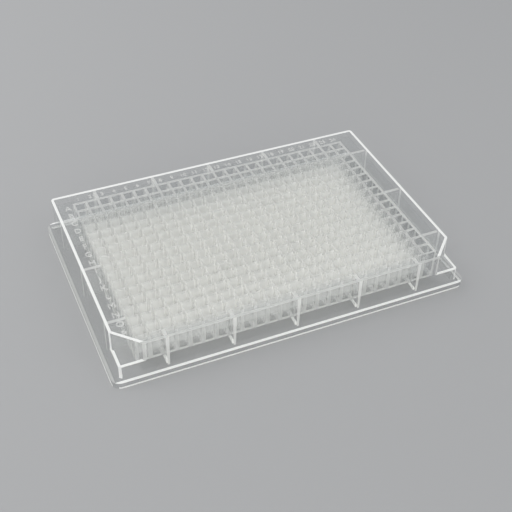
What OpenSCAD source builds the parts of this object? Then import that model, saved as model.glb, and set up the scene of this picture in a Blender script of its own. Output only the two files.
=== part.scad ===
// Well plate: a one-piece moulded plate with a grid of small square wells.
// +X runs along the rows of wells, +Y points to the back edge, +Z is up.
// The origin is the centre of the footprint, on the surface that the plate stands on.

/* [Footprint] */
// Length of the base flange
base_l = 127.76; // [100:0.01:160]
// Width of the base flange
base_w = 85.48; // [60:0.01:110]
// Radius of the corners of the base flange
base_r = 3.18; // [2:0.01:5]
// Height from the underside of the flange to the top of the rim
plate_h = 15; // [12:0.05:24]

/* [Flange] */
// Height of the base flange
flange_h = 2.6; // [2:0.05:4]
// Thickness of the upright face of the flange
flange_t = 1.1; // [0.8:0.05:1.6]
// How far the flange stands out from the skirt on the short sides
flange_step_x = 2.73; // [1.5:0.01:3.3]
// How far the flange stands out from the skirt on the long sides
flange_step_y = 1.96; // [1.5:0.01:3.1]

/* [Skirt and rim] */
// Thickness of the skirt, of the ledge over the flange and of the notch shelves
skirt_t = 1.2; // [0.8:0.05:1.8]
// Radius of the upright edges of the skirt
skirt_r = 1.2; // [0.6:0.05:2.5]
// Thickness of the deck that joins the wells to the skirt
deck_t = 1.2; // [0.8:0.05:1.8]
// How far the rim stands above the deck
rim_h = 1; // [0.5:0.05:2]
// Thickness of the rim
rim_t = 0.95; // [0.6:0.05:1.5]

/* [Corner notches] */
// Length of each leg of the two cut corners on the front edge
notch_leg = 8.6; // [4:0.1:10]
// Height of the cut corners, from their shelf to the top of the rim
notch_h = 7.5; // [3:0.1:9]

/* [Wells] */
// Distance from one well to the next
pitch = 4.5; // [3.5:0.1:9]
// From the end edges of the flange to the centres of the outer wells, at the least
first_col = 12.13; // [12:0.01:20]
// From the long edges of the flange to the centres of the outer wells, at the least
first_row = 8.99; // [8.9:0.01:16]
// Thickness of the walls between the wells, at their top
septum_t = 0.9; // [0.5:0.05:1.1]
// Thickness of the walls round the outside of the wells, at their top
outer_t = 0.75; // [0.6:0.05:1.2]
// Draft of the well walls, in degrees to each side
draft = 2; // [0.5:0.1:3]
// Thickness of the floor under the wells
floor_t = 0.9; // [0.6:0.05:1.5]
// Gap between the floor and the surface that the plate stands on
floor_gap = 2.7; // [2.2:0.1:5]

/* [Ribs] */
// Thickness of the ribs at the top of the deck
rib_t = 1.3; // [1:0.05:1.8]
// Thickness of the ribs at the level of their foot
rib_tip = 0.8; // [0.5:0.05:1]
// Distance from one rib to the next along the long sides
rib_pitch_x = 22.5; // [12:0.5:40]
// Distance from one rib to the next along the short sides
rib_pitch_y = 27; // [12:0.5:40]
// Height of the foot of each rib, where it meets the skirt
rib_foot = 2; // [1.5:0.1:2.5]
// Width of the flat foot of each rib
rib_flat = 0.9; // [0.3:0.1:2]

/* [Hidden] */
$fn = 64;
// Overshoot of cuts, and overlap of pieces that are joined
eps = 0.3;

// Half sizes of the flange and of the skirt
base = [base_l, base_w] / 2;
skirt = base - [flange_step_x, flange_step_y];

// Levels, from the surface that the plate stands on
deck_z = plate_h - rim_h;
notch_z = plate_h - notch_h;
floor_z = floor_gap + floor_t;

// Number of wells that fit, and the half size of the grid between outer wall centres
cols = 1 + floor((base_l - 2 * first_col) / pitch + 0.001);
rows = 1 + floor((base_w - 2 * first_row) / pitch + 0.001);
grid = [cols, rows] * pitch / 2;
block = grid + [outer_t, outer_t] - [septum_t, septum_t] / 2;

// How much a drafted face moves sideways from the top of a well to its floor
lean = (deck_z - floor_z) * tan(draft);

function unit(v) = v / norm(v);

// Corner points of a rectangle of half size h, its two front corners cut by leg
function plan_points(h, leg) =
    leg > 0
        ? [[-h.x + leg, -h.y], [h.x - leg, -h.y], [h.x, -h.y + leg],
           [h.x, h.y], [-h.x, h.y], [-h.x, -h.y + leg]]
        : [[-h.x, -h.y], [h.x, -h.y], [h.x, h.y], [-h.x, h.y]];

// Leg of a cut corner on an outline that lies inset within the skirt's own
function inset_leg(inset) = notch_leg - inset * (2 - sqrt(2));

// Where an arc of radius r meets the two sides of corner p, and its centre between them
function arc_corner(before, p, after, r) =
    let (a = unit(before - p), b = unit(after - p), half = acos(a * b) / 2)
    [p + a * r / tan(half), p + unit(a + b) * r / sin(half), p + b * r / tan(half)];

// Convex outline with true arcs at its corners
module rounded_plan(points, r) {
    n = len(points);
    arcs = [for (i = [0:n - 1])
        arc_corner(points[(i + n - 1) % n], points[i], points[(i + 1) % n], r)];
    polygon([for (c = arcs) each [c[0], c[2]]]);
    for (c = arcs)
        translate(c[1]) circle(r = r);
}

// Solid between two levels with the outline of the flange, moved in by inset
module base_layer(z0, z1, inset) {
    translate([0, 0, z0]) linear_extrude(z1 - z0)
        rounded_plan(plan_points(base - [inset, inset], 0), base_r - inset);
}

// Solid between two levels with the outline of the skirt, moved in by inset
module skirt_layer(z0, z1, inset, notched) {
    translate([0, 0, z0]) linear_extrude(z1 - z0)
        rounded_plan(
            plan_points(skirt - [inset, inset], notched ? inset_leg(inset) : 0),
            max(skirt_r - inset, 0.3));
}

// Flange, skirt, deck and rim, open below and where the wells come through the deck
module shell() {
    difference() {
        union() {
            base_layer(0, flange_h, 0);
            skirt_layer(0, notch_z, 0, false);
            skirt_layer(notch_z - eps, plate_h, 0, true);
        }
        base_layer(-eps, flange_h - skirt_t, flange_t);
        skirt_layer(-eps, notch_z - skirt_t, skirt_t, false);
        skirt_layer(notch_z - skirt_t - eps, deck_z - deck_t, skirt_t, true);
        skirt_layer(deck_z, plate_h + eps, rim_t, true);
        translate([-grid.x, -grid.y, 0]) cube([2 * grid.x, 2 * grid.y, plate_h]);
    }
}

// Channels along Y, one for each of n columns, narrower by the draft towards the floor
module channels(n, length) {
    top = (pitch - septum_t) / 2;
    over = eps * tan(draft);
    for (i = [0:n - 1])
        translate([(i - (n - 1) / 2) * pitch, 0, 0])
            rotate([90, 0, 0]) linear_extrude(length, center = true)
                polygon([
                    [-top - over, deck_z + eps], [top + over, deck_z + eps],
                    [top - lean, floor_z], [-top + lean, floor_z]]);
}

// Drafted wells: the spaces where the channels of the columns and of the rows cross
module wells() {
    intersection() {
        channels(cols, 2 * block.y);
        rotate([0, 0, 90]) channels(rows, 2 * block.x);
    }
}

// Block of wells, with a wall round it that is flush from the floor to the deck
module well_block() {
    difference() {
        translate([-block.x, -block.y, floor_gap])
            cube([2 * block.x, 2 * block.y, deck_z - floor_gap]);
        wells();
    }
}

// Rib along X, from the wells out to the skirt at half size reach, thicker at the deck
module rib(wells_at, skirt_at) {
    inner = wells_at - eps;
    outer = skirt_at - skirt_t + eps;
    intersection() {
        rotate([90, 0, 0]) linear_extrude(2 * rib_t, center = true)
            polygon([
                [inner, floor_gap], [outer - eps - rib_flat, rib_foot], [outer, rib_foot],
                [outer, deck_z - deck_t / 2], [inner, deck_z - deck_t / 2]]);
        rotate([90, 0, 90]) linear_extrude(2 * outer)
            polygon([
                [-rib_tip / 2, rib_foot], [rib_tip / 2, rib_foot],
                [rib_t / 2, deck_z], [-rib_t / 2, deck_z]]);
    }
}

// Ribs under the deck, the same on opposite sides
module ribs() {
    nx = floor((skirt.x - notch_leg) / rib_pitch_x);
    ny = floor((skirt.y - notch_leg) / rib_pitch_y);
    for (i = [-nx:nx], turn = [90, -90])
        translate([i * rib_pitch_x, 0, 0]) rotate([0, 0, turn]) rib(block.y, skirt.y);
    for (j = [-ny:ny], turn = [0, 180])
        translate([0, j * rib_pitch_y, 0]) rotate([0, 0, turn]) rib(block.x, skirt.x);
}

module well_plate() {
    color([0.86, 0.88, 0.88]) {
        shell();
        well_block();
        ribs();
    }
}

well_plate();
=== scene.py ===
"""Well plate: the looks of a one-piece moulded plate of natural polypropylene."""
import math

import bpy
from mathutils import Matrix, Vector


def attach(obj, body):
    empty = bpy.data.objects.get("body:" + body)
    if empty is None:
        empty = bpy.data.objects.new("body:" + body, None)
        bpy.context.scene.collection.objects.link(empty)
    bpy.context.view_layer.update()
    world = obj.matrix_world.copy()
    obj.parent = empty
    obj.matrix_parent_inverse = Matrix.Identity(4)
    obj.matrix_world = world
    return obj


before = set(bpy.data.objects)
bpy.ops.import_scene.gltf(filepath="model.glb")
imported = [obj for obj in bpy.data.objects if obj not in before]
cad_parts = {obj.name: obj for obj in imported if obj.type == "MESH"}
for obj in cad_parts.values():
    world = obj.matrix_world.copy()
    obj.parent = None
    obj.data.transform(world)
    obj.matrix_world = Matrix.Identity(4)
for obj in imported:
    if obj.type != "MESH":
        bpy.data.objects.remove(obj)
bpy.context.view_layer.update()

MM = 0.001
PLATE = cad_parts["well_plate"]

# Lengths are in millimetres. First, half sizes of the plan, from its middle
FLANGE = (63.88, 42.74)
SKIRT = (61.15, 40.78)
BLOCK = (54.3, 36.3)

SKIRT_WALL, BLOCK_WALL = 1.2, 0.75
PITCH = 4.5
COLUMNS, ROWS = 24, 16
RIB_PITCH = (22.5, 27.0)
NOTCH_LEG = 8.6

# Half the thickness of the walls between wells, and of the ribs, at their foot and top
SEPTUM_FOOT_HALF, SEPTUM_TOP_HALF = 0.82, 0.45
RIB_FOOT_HALF, RIB_TOP_HALF = 0.4, 0.6

# Levels above the surface that the plate stands on
RIB_FOOT, BLOCK_FOOT, LEDGE, WELL_FLOOR = 2.0, 2.7, 2.6, 3.6
SHELF, DECK_FOOT, DECK, RIM = 7.5, 12.8, 14.0, 15.0

# How far a mask reaches past the surface that it is for. The second is for the outside of
# the skirt, the cut corners and the feet of the ribs
SKIN, WIDE_SKIN = 0.05, 0.1
# How far below a level its rounded edge still counts as part of it
EDGE = 0.2
# Widths of the strips along the edges of the ledge and of the shelves, and of the front rim
LEDGE_STRIP, SHELF_STRIP, FRONT_RIM = 0.9, 0.9, 1.0
# Height and inset of the band along the foot of the flange
FOOT_HEIGHT, FOOT_INSET = 0.8, 0.3
# Depth of the band round the mouths of the wells
MOUTH = 0.3
# How far an upright edge reaches, beside a notch's shelf and elsewhere
UPRIGHT, WIDE_UPRIGHT = 0.5, 0.6
# How far the skirt's own upright edge lies within the corner of its plan
ROUND_INSET = 0.35
# How far the crossing of two walls reaches past them
CROSSING = 0.4

# The outer wells look clearer. Their walls change from WALLS_FROM, and the tops of the walls
# from TOPS_FROM, to INNER_FROM, measured in from the back of the block
WALLS_FROM, TOPS_FROM, INNER_FROM = 1.0, 4.0, 14.0
# How much sooner that is reached from its right side
RIGHT_SIDE = 1.6
# Height above the well floor over which the walls gain their full look, and where it starts
LOW_WALL, LOW_WALL_SHARE = 4.0, 0.35

COLOUR = (0.93, 0.928, 0.902)
# What one surface lets through, less what it would reflect
WINDOW = (0.935, 0.94, 0.942)
IOR = 1.49
ROUGHNESS = (0.27, 0.35)

# How solid one surface of the plastic looks, from 0 to 1. The last value paints a white
# highlight
# on the ends of walls and some edges: partly the whiter look of plastic seen end on, partly
# the light that the thin walls carry to their ends.
CLEAR, OUTER_WELLS, RIB, MILKY, CORNER, PALE, PAINTED_HIGHLIGHT = 0.075, 0.04, 0.15, 0.3, 0.5, 0.7, 0.95
OUTER_TOPS, INNER_TOPS = 0.6, 0.12
# How much more solid the crossing of two walls looks than the walls
CROSSING_GAIN = 1.45
# The share of the scattered light that comes from behind a surface, smaller at the painted
# highlights so that they take more light from the lamps in front
THROUGH_WALL, THROUGH_HIGHLIGHT = 0.5, 0.1
# The share of a lamp's light that gets through a surface
LAMPS_THROUGH, LAMPS_THROUGH_FLOOR = 0.93, 0.1
# How much of a surface's tint is left out where many walls lie behind each other
CLEAN_INSIDE = 0.7

# The raised marks: middle of the letters, middle of the numbers, half the thickness of both,
# and how far their middle lies above the deck
LETTERS_X, NUMBERS_Y = -56.6, 38.0
MARK_HALF, MARK_LIFT = 0.15, 0.1
MARK_SIGHT, MARK_THROUGH, MARK_LAMPS = 0.35, 0.3, (0.8, 0.8, 0.8, 1)


# ---------------------------------------------------------------- materials

class Graph:
    """The nodes of one material. Its calls return the outputs of what they add."""

    def __init__(self, name):
        self.material = bpy.data.materials.new(name)
        self.material.use_nodes = True
        self.nodes = self.material.node_tree.nodes
        self.links = self.material.node_tree.links
        self.shader = self.nodes["Principled BSDF"]
        self.end = self.nodes["Material Output"].inputs["Surface"]

    def put(self, socket, value):
        if isinstance(value, bpy.types.NodeSocket):
            self.links.new(value, socket)
        else:
            socket.default_value = value

    def maths(self, operation, *values):
        node = self.nodes.new("ShaderNodeMath")
        node.operation = operation
        for socket, value in zip(node.inputs, values):
            self.put(socket, value)
        return node.outputs[0]

    def both(self, first, *others):
        for other in others:
            first = self.maths("MULTIPLY", first, other)
        return first

    def either(self, first, *others):
        for other in others:
            first = self.maths("MAXIMUM", first, other)
        return first

    def below(self, value, limit):
        return self.maths("LESS_THAN", value, limit)

    def above(self, value, limit):
        return self.maths("GREATER_THAN", value, limit)

    def between(self, value, low, high):
        return self.both(self.above(value, low), self.below(value, high))

    def step(self, value, low, high, at_low, at_high):
        """Goes from at_low to at_high as value goes from low to high."""
        node = self.nodes.new("ShaderNodeMapRange")
        for name, number in (
                ("Value", value), ("From Min", low), ("From Max", high),
                ("To Min", at_low), ("To Max", at_high)):
            self.put(node.inputs[name], number)
        return node.outputs["Result"]

    def paint(self, under, mask, value):
        """value where mask is 1, under where it is 0."""
        return self.step(mask, 0, 1, under, value)

    def noise(self, scale, low, high):
        """Noise from about low to high, with scale in waves a metre."""
        place = self.nodes.new("ShaderNodeTexCoord")
        wave = self.nodes.new("ShaderNodeTexNoise")
        wave.inputs["Scale"].default_value = scale
        wave.inputs["Detail"].default_value = 1
        self.links.new(place.outputs["Object"], wave.inputs["Vector"])
        return self.step(wave.outputs["Fac"], 0.3, 0.7, low, high)

    def mix(self, fac, first, second):
        """The shader first where fac is 0, second where it is 1."""
        node = self.nodes.new("ShaderNodeMixShader")
        self.put(node.inputs["Fac"], fac)
        self.links.new(first, node.inputs[1])
        self.links.new(second, node.inputs[2])
        return node.outputs[0]


class Place:
    """Where a point of the plate is, in millimetres, as masks of a Graph."""

    def __init__(self, graph):
        self.graph = graph
        place = graph.nodes.new("ShaderNodeTexCoord")
        grow = graph.nodes.new("ShaderNodeVectorMath")
        grow.operation = "SCALE"
        grow.inputs["Scale"].default_value = 1 / MM
        split = graph.nodes.new("ShaderNodeSeparateXYZ")
        graph.links.new(place.outputs["Object"], grow.inputs[0])
        graph.links.new(grow.outputs[0], split.inputs[0])
        self.across, self.depth, self.z = split.outputs
        # The plate is nearly the same on both sides of its middle
        self.x = graph.maths("ABSOLUTE", self.across)
        self.y = graph.maths("ABSOLUTE", self.depth)

    def inside(self, half, inset=0.0):
        """1 within a rectangle of that half size, moved in by inset."""
        g = self.graph
        return g.both(
            g.below(self.x, half[0] - inset), g.below(self.y, half[1] - inset))

    def outside(self, half, inset=0.0):
        return self.graph.maths("SUBTRACT", 1, self.inside(half, inset))

    def level(self, low, high):
        return self.graph.between(self.z, low, high)

    def channel(self):
        """1 in the space between the block and the skirt."""
        return self.graph.both(
            self.outside(BLOCK, -SKIN), self.inside(SKIRT, SKIRT_WALL + SKIN))

    def from_back_right(self):
        """How far in from the back of the block, or RIGHT_SIDE times that from its right."""
        g = self.graph
        from_right = g.maths(
            "MULTIPLY", g.maths("SUBTRACT", BLOCK[0], self.across), RIGHT_SIDE)
        return g.maths("MINIMUM", from_right, g.maths("SUBTRACT", BLOCK[1], self.depth))

    def past_notch(self):
        """1 in front of the two cut corners."""
        g = self.graph
        diagonal = g.maths("SUBTRACT", self.x, self.depth)
        return g.above(diagonal, sum(SKIRT) - NOTCH_LEG - WIDE_SKIN)

    def from_line(self, reach, spacing):
        """Distance from the nearest of a row of lines, one of them through the middle."""
        return self.graph.maths("PINGPONG", reach, spacing / 2)

    def near_upright(self, x, y, radius):
        """1 near the upright edge at (+-x, y)."""
        g = self.graph
        across = g.maths("SUBTRACT", self.x, x)
        along = g.maths("SUBTRACT", self.depth, y)
        square = g.maths(
            "ADD", g.maths("MULTIPLY", across, across), g.maths("MULTIPLY", along, along))
        return g.below(square, radius * radius)


def painted_end_highlights(g, at):
    """1 where a white highlight is painted: on the ends of thin walls, partly for the whiter
    look of plastic seen end on, and on the foot of the flange.
    """
    rim = g.both(g.above(at.z, RIM - EDGE), g.above(at.depth, FRONT_RIM - SKIRT[1]))
    long_side = g.above(at.y, FLANGE[1] - LEDGE_STRIP)
    ledge = g.both(at.level(LEDGE - EDGE, LEDGE + SKIN), long_side)
    # A painted highlight band on the outer face of the flange's foot
    foot = g.both(g.below(at.z, FOOT_HEIGHT), at.outside(FLANGE, FOOT_INSET))
    shelf = g.both(
        at.level(SHELF - EDGE, SHELF + SKIN), at.outside(SKIRT, SHELF_STRIP), at.past_notch())
    rib_foot = g.both(
        at.channel(), at.level(RIB_FOOT - WIDE_SKIN, BLOCK_FOOT + SKIN),
        g.above(at.y, BLOCK[1]))
    return g.either(rim, ledge, foot, shelf, rib_foot)


def painted_upright_highlights(g, at):
    """1 along the upright edge beside each cut corner and that of the skirt under it, where a
    white highlight is painted.
    """
    side = g.both(
        g.above(at.z, SHELF), at.near_upright(SKIRT[0], NOTCH_LEG - SKIRT[1], UPRIGHT))
    lower = g.both(
        at.level(LEDGE, SHELF),
        at.near_upright(SKIRT[0] - ROUND_INSET, ROUND_INSET - SKIRT[1], WIDE_UPRIGHT))
    return g.either(side, lower)


def joined_ribs(g, at):
    """1 on the outside of the skirt where a rib stands behind it."""
    half = g.step(at.z, RIB_FOOT, DECK, RIB_FOOT_HALF, RIB_TOP_HALF)
    along_x = g.both(
        g.below(at.from_line(at.x, RIB_PITCH[0]), half), g.above(at.y, SKIRT[1] - WIDE_SKIN))
    along_y = g.both(
        g.below(at.from_line(at.y, RIB_PITCH[1]), half), g.above(at.x, SKIRT[0] - WIDE_SKIN))
    return g.both(
        at.inside(SKIRT, -SKIN), g.above(at.z, RIB_FOOT), g.either(along_x, along_y))


def joined_septa(g, at, half):
    """1 on the outside of the block where a wall between two wells meets it."""
    along_x = g.both(
        g.below(at.from_line(at.x, PITCH), half), g.above(at.y, BLOCK[1] - SKIN))
    along_y = g.both(
        g.below(at.from_line(at.y, PITCH), half), g.above(at.x, BLOCK[0] - SKIN))
    return g.both(
        at.inside(BLOCK, -SKIN), g.below(at.z, DECK_FOOT), g.either(along_x, along_y))


def body_sight(g, at):
    """How solid a surface of the plate looks."""
    block = at.inside(BLOCK, -SKIN)
    ribs = g.both(at.channel(), g.below(at.z, DECK_FOOT - SKIN))
    # The walls of the wells are clearer at the back and on the right, and near their floor
    deep = at.from_back_right()
    walls = g.both(
        g.step(deep, WALLS_FROM, INNER_FROM, OUTER_WELLS, MILKY),
        g.step(at.z, WELL_FLOOR, WELL_FLOOR + LOW_WALL, LOW_WALL_SHARE, 1.0))
    wells = g.both(block, g.above(at.z, WELL_FLOOR + SKIN))
    floor_edge = g.both(block, at.outside(BLOCK, SKIN), g.below(at.z, WELL_FLOOR))
    look = g.paint(CLEAR, ribs, RIB)
    look = g.paint(look, wells, walls)
    look = g.paint(look, floor_edge, PALE)

    # The walls between wells thicken from the top down, and their crossings with them
    septum = g.step(at.z, WELL_FLOOR, DECK, SEPTUM_FOOT_HALF, SEPTUM_TOP_HALF)
    corner = g.maths("ADD", septum, CROSSING)
    corners = g.both(
        g.below(at.from_line(at.x, PITCH), corner), g.below(at.from_line(at.y, PITCH), corner),
        at.inside(BLOCK, BLOCK_WALL), at.level(WELL_FLOOR + SKIN, DECK - MOUTH))
    look = g.paint(look, corners, g.maths("MULTIPLY", walls, CROSSING_GAIN))
    septum_foot = g.both(
        at.inside(BLOCK), g.below(at.z, BLOCK_FOOT + SKIN), g.either(
            g.below(at.from_line(at.x, PITCH), SEPTUM_FOOT_HALF),
            g.below(at.from_line(at.y, PITCH), SEPTUM_FOOT_HALF)))
    look = g.paint(look, septum_foot, PALE)
    look = g.paint(look, joined_septa(g, at, septum), CORNER)
    look = g.paint(look, joined_ribs(g, at), PALE)

    # On the deck, the ribs under it show as lines
    deck = at.level(DECK - SKIN, DECK + SKIN)
    under_x = g.both(
        g.below(at.from_line(at.x, RIB_PITCH[0]), RIB_TOP_HALF), g.above(at.y, BLOCK[1]))
    under_y = g.both(
        g.below(at.from_line(at.y, RIB_PITCH[1]), RIB_TOP_HALF), g.above(at.x, BLOCK[0]))
    look = g.paint(look, g.both(deck, g.either(under_x, under_y)), PALE)
    tops = g.both(at.inside(BLOCK), g.above(at.z, DECK - MOUTH))
    look = g.paint(look, tops, g.step(deep, TOPS_FROM, INNER_FROM, OUTER_TOPS, INNER_TOPS))

    # Some ends of walls get a weaker painted highlight than the rest
    front_rim = g.both(g.above(at.z, RIM - EDGE), g.below(at.depth, FRONT_RIM - SKIRT[1]))
    front_upright = g.both(
        g.above(at.z, SHELF),
        at.near_upright(SKIRT[0] - NOTCH_LEG, -SKIRT[1], WIDE_UPRIGHT))
    short_ledge = g.both(
        at.level(LEDGE - EDGE, LEDGE + SKIN), g.above(at.x, FLANGE[0] - LEDGE_STRIP))
    look = g.paint(look, g.either(front_rim, front_upright, short_ledge), CORNER)
    # Painted white highlights along the upright edges and on the ends of walls
    look = g.paint(look, painted_upright_highlights(g, at), PAINTED_HIGHLIGHT)
    return g.paint(look, painted_end_highlights(g, at), PAINTED_HIGHLIGHT)


def body_through(g, at):
    """The share of the scattered light that comes from behind a surface, smaller at the
    painted highlights.
    """
    return g.paint(THROUGH_WALL, g.either(painted_end_highlights(g, at), painted_upright_highlights(g, at)), THROUGH_HIGHLIGHT)


def body_lamps(g, at):
    """How much of a lamp's light a surface lets through: most, but for the well floors."""
    floor = g.both(at.inside(BLOCK), g.below(at.z, WELL_FLOOR + SKIN))
    return g.paint(LAMPS_THROUGH, floor, LAMPS_THROUGH_FLOOR)


def body_clean(g, at):
    """CLEAN_INSIDE deep in the block, where many walls lie behind each other, else 0."""
    return g.both(
        at.inside(BLOCK),
        g.step(at.from_back_right(), TOPS_FROM, INNER_FROM, 0.0, CLEAN_INSIDE))


def polypropylene(name, sight, through, lamps, clean):
    """Milky plastic that shows what is behind it.

    sight is how solid a surface looks, through the share of its scattered light that comes
    from behind, and lamps how much of a lamp's light it lets through. clean is 1 where a
    surface takes nothing from what it lets through. Each is a function of the place.
    """
    g = Graph(name)
    at = Place(g)
    g.put(g.shader.inputs["Base Color"], (*COLOUR, 1))
    g.put(g.shader.inputs["IOR"], IOR)
    g.put(g.shader.inputs["Roughness"], g.noise(900, *ROUGHNESS))
    glow = g.nodes.new("ShaderNodeBsdfTranslucent")
    g.put(glow.inputs["Color"], (*COLOUR, 1))
    body = g.mix(through(g, at), g.shader.outputs[0], glow.outputs[0])

    window = g.nodes.new("ShaderNodeBsdfTransparent")
    g.put(window.inputs["Color"], (*WINDOW, 1))
    open_air = g.nodes.new("ShaderNodeBsdfTransparent")
    behind = g.mix(clean(g, at), window.outputs[0], open_air.outputs[0])
    seen = g.mix(sight(g, at), behind, body)

    # A ray to a lamp takes this short branch, as it crosses many walls
    shade = g.nodes.new("ShaderNodeBsdfTransparent")
    g.put(shade.inputs["Color"], lamps(g, at))
    path = g.nodes.new("ShaderNodeLightPath")
    g.links.new(g.mix(path.outputs["Is Shadow Ray"], seen, shade.outputs[0]), g.end)
    return g.material


def plain(name, colour, roughness):
    g = Graph(name)
    g.put(g.shader.inputs["Base Color"], (*colour, 1))
    g.put(g.shader.inputs["Roughness"], roughness)
    return g.material


# ------------------------------------------------------------------- plate

def finish_plate():
    """Gives the moulding its material, and its edges the small radius that a mould leaves."""
    PLATE.data.materials.clear()
    PLATE.data.materials.append(polypropylene(
        "natural_polypropylene", body_sight, body_through, body_lamps, body_clean))
    weld = PLATE.modifiers.new("weld", "WELD")
    weld.merge_threshold = 0.002 * MM
    bevel = PLATE.modifiers.new("edge_radius", "BEVEL")
    bevel.width = 0.15 * MM
    bevel.segments = 2
    bevel.limit_method = "ANGLE"
    bevel.angle_limit = math.radians(40)
    bevel.use_clamp_overlap = False


def raised_marks(name, size, marks, material):
    """One piece of (text, x, y) marks, which stand a little out of the deck."""
    pieces = []
    for text, x, y in marks:
        curve = bpy.data.curves.new(name, "FONT")
        curve.body = text
        curve.size = size * MM
        curve.align_x = "CENTER"
        curve.align_y = "CENTER"
        curve.extrude = MARK_HALF * MM
        curve.resolution_u = 3
        piece = bpy.data.objects.new(name, curve)
        piece.location = Vector((x, y, DECK + MARK_LIFT)) * MM
        bpy.context.scene.collection.objects.link(piece)
        pieces.append(piece)
    bpy.context.view_layer.update()

    vertices, faces = [], []
    depsgraph = bpy.context.evaluated_depsgraph_get()
    for piece in pieces:
        mesh = piece.evaluated_get(depsgraph).to_mesh()
        first = len(vertices)
        vertices += [piece.matrix_world @ v.co for v in mesh.vertices]
        faces += [[first + i for i in p.vertices] for p in mesh.polygons]
    for piece in pieces:
        curve = piece.data
        bpy.data.objects.remove(piece)
        bpy.data.curves.remove(curve)

    mesh = bpy.data.meshes.new(name)
    mesh.from_pydata(vertices, [], faces)
    mesh.materials.append(material)
    marks_piece = bpy.data.objects.new(name, mesh)
    bpy.context.scene.collection.objects.link(marks_piece)
    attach(marks_piece, "root")


def make_marks():
    """Raised row letters on the left of the deck, column numbers along its back."""
    material = polypropylene(
        "polypropylene_marks", lambda g, at: MARK_SIGHT, lambda g, at: MARK_THROUGH,
        lambda g, at: MARK_LAMPS, lambda g, at: 1.0)
    raised_marks("row_letters", 3.5, [
        (chr(ord("A") + row), LETTERS_X, ((ROWS - 1) / 2 - row) * PITCH)
        for row in range(ROWS)], material)
    raised_marks("column_numbers", 2.6, [
        (str(column + 1), (column - (COLUMNS - 1) / 2) * PITCH, NUMBERS_Y)
        for column in range(COLUMNS)], material)


# ----------------------------------------------------------- floor and light

def make_floor():
    """A pale floor, 6 m wide, just under the plate."""
    mesh = bpy.data.meshes.new("floor")
    half = 3.0
    z = -0.02 * MM
    mesh.from_pydata(
        [(-half, -half, z), (half, -half, z), (half, half, z), (-half, half, z)],
        [], [(0, 1, 2, 3)])
    floor = bpy.data.objects.new("floor", mesh)
    bpy.context.scene.collection.objects.link(floor)
    mesh.materials.append(plain("floor", (0.38, 0.38, 0.38), 0.7))


def area_light(name, place, size, watts):
    """A round lamp of that size in metres, turned to the middle of the plate."""
    light = bpy.data.lights.new(name, "AREA")
    light.shape = "DISK"
    light.size = size
    light.energy = watts
    lamp = bpy.data.objects.new(name, light)
    lamp.location = place
    lamp.rotation_mode = "QUATERNION"
    lamp.rotation_quaternion = (-Vector(place)).to_track_quat("-Z", "Y")
    bpy.context.scene.collection.objects.link(lamp)


def make_light():
    world = bpy.data.worlds.new("studio")
    world.use_nodes = True
    sky = world.node_tree.nodes["Background"]
    sky.inputs["Color"].default_value = (0.95, 0.97, 1.0, 1)
    sky.inputs["Strength"].default_value = 0.7
    bpy.context.scene.world = world
    area_light("key", (-0.35, 0.35, 0.6), 0.5, 2.3)
    area_light("fill", (0.5, -0.5, 0.45), 0.6, 1.0)
    area_light("low", (-0.35, -0.75, 0.12), 0.5, 2.0)


def make_camera():
    """Looks at the plate from the photograph's side, height and distance."""
    target = Vector((-1.16, -8.3, 7.5)) * MM
    azimuth, elevation, roll = map(math.radians, (-24.15, 40.86, 1.29))
    distance = 331.0 * MM
    back = Vector((
        math.sin(azimuth) * math.cos(elevation),
        -math.cos(azimuth) * math.cos(elevation),
        math.sin(elevation)))
    data = bpy.data.cameras.new("camera")
    data.sensor_width = 36
    data.lens = 66.34
    data.clip_start = 0.01
    camera = bpy.data.objects.new("camera", data)
    camera.location = target + back * distance
    camera.rotation_mode = "QUATERNION"
    camera.rotation_quaternion = (
        (-back).to_track_quat("-Z", "Y").to_matrix() @ Matrix.Rotation(roll, 3, "Z")
    ).to_quaternion()
    bpy.context.scene.collection.objects.link(camera)
    bpy.context.scene.camera = camera


make_camera()
make_floor()
make_light()
finish_plate()
make_marks()

bpy.context.scene.view_settings.view_transform = "Standard"
# A ray crosses many thin clear walls before it leaves the wells
bpy.context.scene.cycles.transparent_max_bounces = 40
